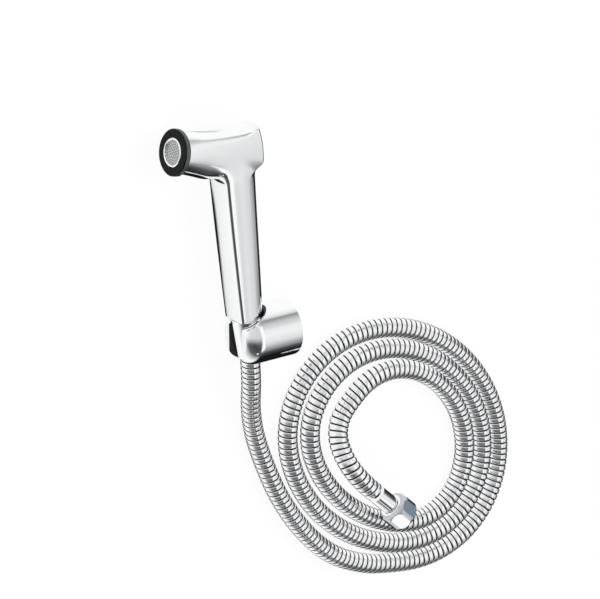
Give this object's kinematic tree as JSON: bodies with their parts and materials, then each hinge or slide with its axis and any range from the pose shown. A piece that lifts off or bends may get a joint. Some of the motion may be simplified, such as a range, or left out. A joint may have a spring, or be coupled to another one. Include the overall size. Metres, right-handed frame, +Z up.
{
  "type": "handheld bidet shower",
  "caption": "gun-shaped chromed hand spray with a thumb button, a flexible metal hose laid in a flat coil with a hexagonal coupling nut, and a barrel-shaped wall holder",
  "frame": {"origin": "the middle of the wall holder's wall face", "axes": "+X out of the wall face, towards the wall; +Y up the handset, from the holder to the head; +Z up from the surface that the set lies on"},
  "size_m": [0.2881, 0.379, 0.04],
  "materials": {
    "chrome": "polished",
    "hose_steel": "bright double-lock strip",
    "steel": "satin",
    "black_plastic": "semi-gloss",
    "brass": "turned",
    "rubber": "matt"
  },
  "bodies": {
    "set": {"handset_body": "chrome", "valve_bonnet": "brass", "stem_ring": "rubber", "bonnet_ring": "rubber", "valve_spring": "steel", "nozzle_ring": "black_plastic", "nozzle_bezel": "chrome", "spray_plate": "steel", "spray_insert": "black_plastic", "nozzle_gasket": "rubber", "inlet_tail": "brass", "grip_washer": "rubber", "grip_ferrule": "chrome", "cone_nut": "chrome", "far_ferrule": "chrome", "far_stem": "brass", "far_washer": "rubber", "holder_body": "chrome", "wall_plate": "steel", "lock_screw": "steel", "hose_lead": "hose_steel", "hose_coil": "hose_steel", "hose_tail": "hose_steel"},
    "button": {"push_button": "chrome", "valve_stem": "brass", "valve_seal": "rubber"},
    "coupling_nut": {"far_nut": "chrome"}
  },
  "joints": [
    {"name": "button_press", "type": "slide", "parent": "set", "child": "button", "axis": [-0.9718, -0.2357, 0], "range_m": [0, 0.0035], "stiffness_N_per_m": 600, "springref_m": -0.006, "deforming": ["valve_spring"]},
    {"name": "nut_spin", "type": "hinge", "parent": "set", "child": "coupling_nut", "pos_m": [0.08593, -0.15645, 0.00713], "axis": [0.7161, -0.6961, 0.051], "continuous": true}
  ]
}
